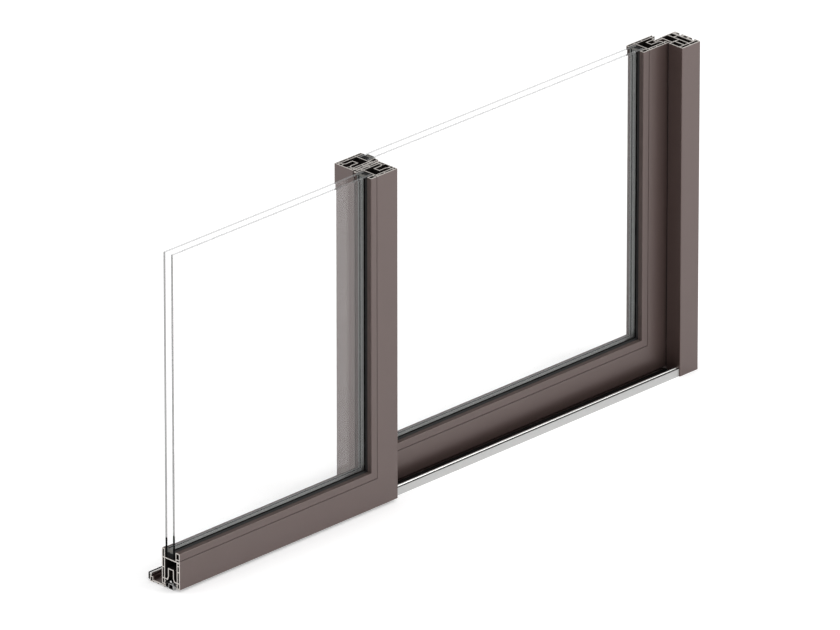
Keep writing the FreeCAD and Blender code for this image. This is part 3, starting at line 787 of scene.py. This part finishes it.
class SLIDING_WINDOW_OT_set_stage(bpy.types.Operator):
    """Sets the floor, the white surroundings, the soft lamp and the camera"""

    bl_idname = "sliding_window.set_stage"
    bl_label = "Set Stage"

    def execute(self, context):
        scene = context.scene
        scene.view_settings.view_transform = "Standard"
        self.lay_floor(scene)
        self.light_sky(scene)
        self.hang_lamp(scene)
        self.place_camera(scene)
        return {"FINISHED"}

    def lay_floor(self, scene):
        """A pale floor that keeps the window's shadow, lifted near white for the eye and for reflections."""
        stage = scene.window_stage
        mesh = bmesh.new()
        bmesh.ops.create_grid(mesh, x_segments=1, y_segments=1, size=stage.floor_reach)
        made = bpy.data.meshes.new("studio_floor")
        mesh.to_mesh(made)
        mesh.free()
        floor = bpy.data.objects.new("studio_floor", made)
        scene.collection.objects.link(floor)
        material, tree, output = new_material("pale_studio_floor")[:3]
        path = add(tree, "ShaderNodeLightPath")
        seen = largest(tree, path.outputs["Is Camera Ray"], path.outputs["Is Glossy Ray"],
                       path.outputs["Is Transmission Ray"])
        lift = add(tree, "ShaderNodeMath", {0: seen, 1: stage.floor_lift}, operation="MULTIPLY")
        matt = add(tree, "ShaderNodeBsdfDiffuse", {"Color": stage.floor})
        glow = add(tree, "ShaderNodeEmission", {"Color": stage.floor, "Strength": lift.outputs[0]})
        mixed = add(tree, "ShaderNodeAddShader", {0: matt.outputs[0], 1: glow.outputs[0]})
        tree.links.new(mixed.outputs[0], output.inputs["Surface"])
        material.cycles.emission_sampling = "NONE"
        made.materials.append(material)

    def light_sky(self, scene):
        """White surroundings, a little stronger in front of the window than behind it."""
        stage = scene.window_stage
        world = bpy.data.worlds.new("white_surroundings")
        world.use_nodes = True
        tree = world.node_tree
        tree.nodes.clear()
        output = add(tree, "ShaderNodeOutputWorld")
        path = add(tree, "ShaderNodeLightPath")
        seen = largest(tree, path.outputs["Is Camera Ray"], path.outputs["Is Transmission Ray"])
        direction = add(tree, "ShaderNodeTexCoord").outputs["Generated"]
        parts = add(tree, "ShaderNodeSeparateXYZ", {0: direction})
        lit = add(tree, "ShaderNodeMapRange", {
            "Value": parts.outputs["Y"], "From Min": -1.0, "From Max": 1.0,
            "To Min": stage.sky_front * stage.sky, "To Max": stage.sky_back * stage.sky})
        strength = add(tree, "ShaderNodeMapRange", {"Value": seen, "To Min": lit.outputs[0], "To Max": 1.0})
        sky = add(tree, "ShaderNodeBackground", {
            "Color": linear("#FFFFFF"), "Strength": strength.outputs[0]})
        tree.links.new(sky.outputs[0], output.inputs["Surface"])
        scene.world = world

    def hang_lamp(self, scene):
        """A large soft lamp above the window, in front of it and to the right."""
        stage = scene.window_stage
        lamp = bpy.data.lights.new("soft_key", "AREA")
        lamp.energy = stage.key
        lamp.shape = "DISK"
        lamp.size = stage.key_size
        key = bpy.data.objects.new("soft_key", lamp)
        key.location = stage.key_place
        key.rotation_euler = (Vector(stage.key_aim) - key.location).to_track_quat("-Z", "Y").to_euler()
        scene.collection.objects.link(key)

    def place_camera(self, scene):
        """A long lens that looks down on the window from the front left."""
        stage = scene.window_stage
        turn = stage.azimuth
        level = math.cos(stage.elevation)
        back = Vector((-math.sin(turn) * level, -math.cos(turn) * level, math.sin(stage.elevation)))
        view = bpy.data.cameras.new("catalogue_view")
        view.sensor_width = SENSOR
        view.lens = stage.lens
        view.clip_end = 200.0
        camera = bpy.data.objects.new("catalogue_view", view)
        camera.location = Vector(stage.aim) + back * stage.distance
        camera.rotation_euler = back.to_track_quat("Z", "Y").to_euler()
        scene.collection.objects.link(camera)
        scene.camera = camera


class VIEW3D_PT_sliding_window(bpy.types.Panel):
    """The window's finishes, sizes and steps"""

    bl_label = "Sliding Window"
    bl_space_type = "VIEW_3D"
    bl_region_type = "UI"
    bl_category = "Sliding Window"

    def draw(self, context):
        for name, group in SETTINGS.items():
            box = self.layout.box()
            box.label(text=group.__doc__)
            for value in group.__annotations__:
                box.prop(getattr(context.scene, name), value)
        column = self.layout.column(align=True)
        for operator in OPERATORS:
            column.operator(operator.bl_idname)


SETTINGS = {
    "window_finishes": FinishSettings,
    "window_brushes": BrushSettings,
    "window_spacer": SpacerSettings,
    "window_stage": StageSettings,
}
OPERATORS = (
    SLIDING_WINDOW_OT_coat_profiles,
    SLIDING_WINDOW_OT_finish_tracks,
    SLIDING_WINDOW_OT_glaze,
    SLIDING_WINDOW_OT_fill_spacers,
    SLIDING_WINDOW_OT_fit_seals,
    SLIDING_WINDOW_OT_plant_brushes,
    SLIDING_WINDOW_OT_set_stage,
)


def register():
    for settings in SETTINGS.values():
        bpy.utils.register_class(settings)
    for operator in OPERATORS:
        bpy.utils.register_class(operator)
    bpy.utils.register_class(VIEW3D_PT_sliding_window)
    for name, settings in SETTINGS.items():
        setattr(bpy.types.Scene, name, bpy.props.PointerProperty(type=settings))


def unregister():
    for name in SETTINGS:
        delattr(bpy.types.Scene, name)
    bpy.utils.unregister_class(VIEW3D_PT_sliding_window)
    for operator in reversed(OPERATORS):
        bpy.utils.unregister_class(operator)
    for settings in reversed(SETTINGS.values()):
        bpy.utils.unregister_class(settings)


def main():
    register()
    for operator in OPERATORS:
        group, name = operator.bl_idname.split(".")
        getattr(getattr(bpy.ops, group), name)()


if __name__ == "__main__":
    main()
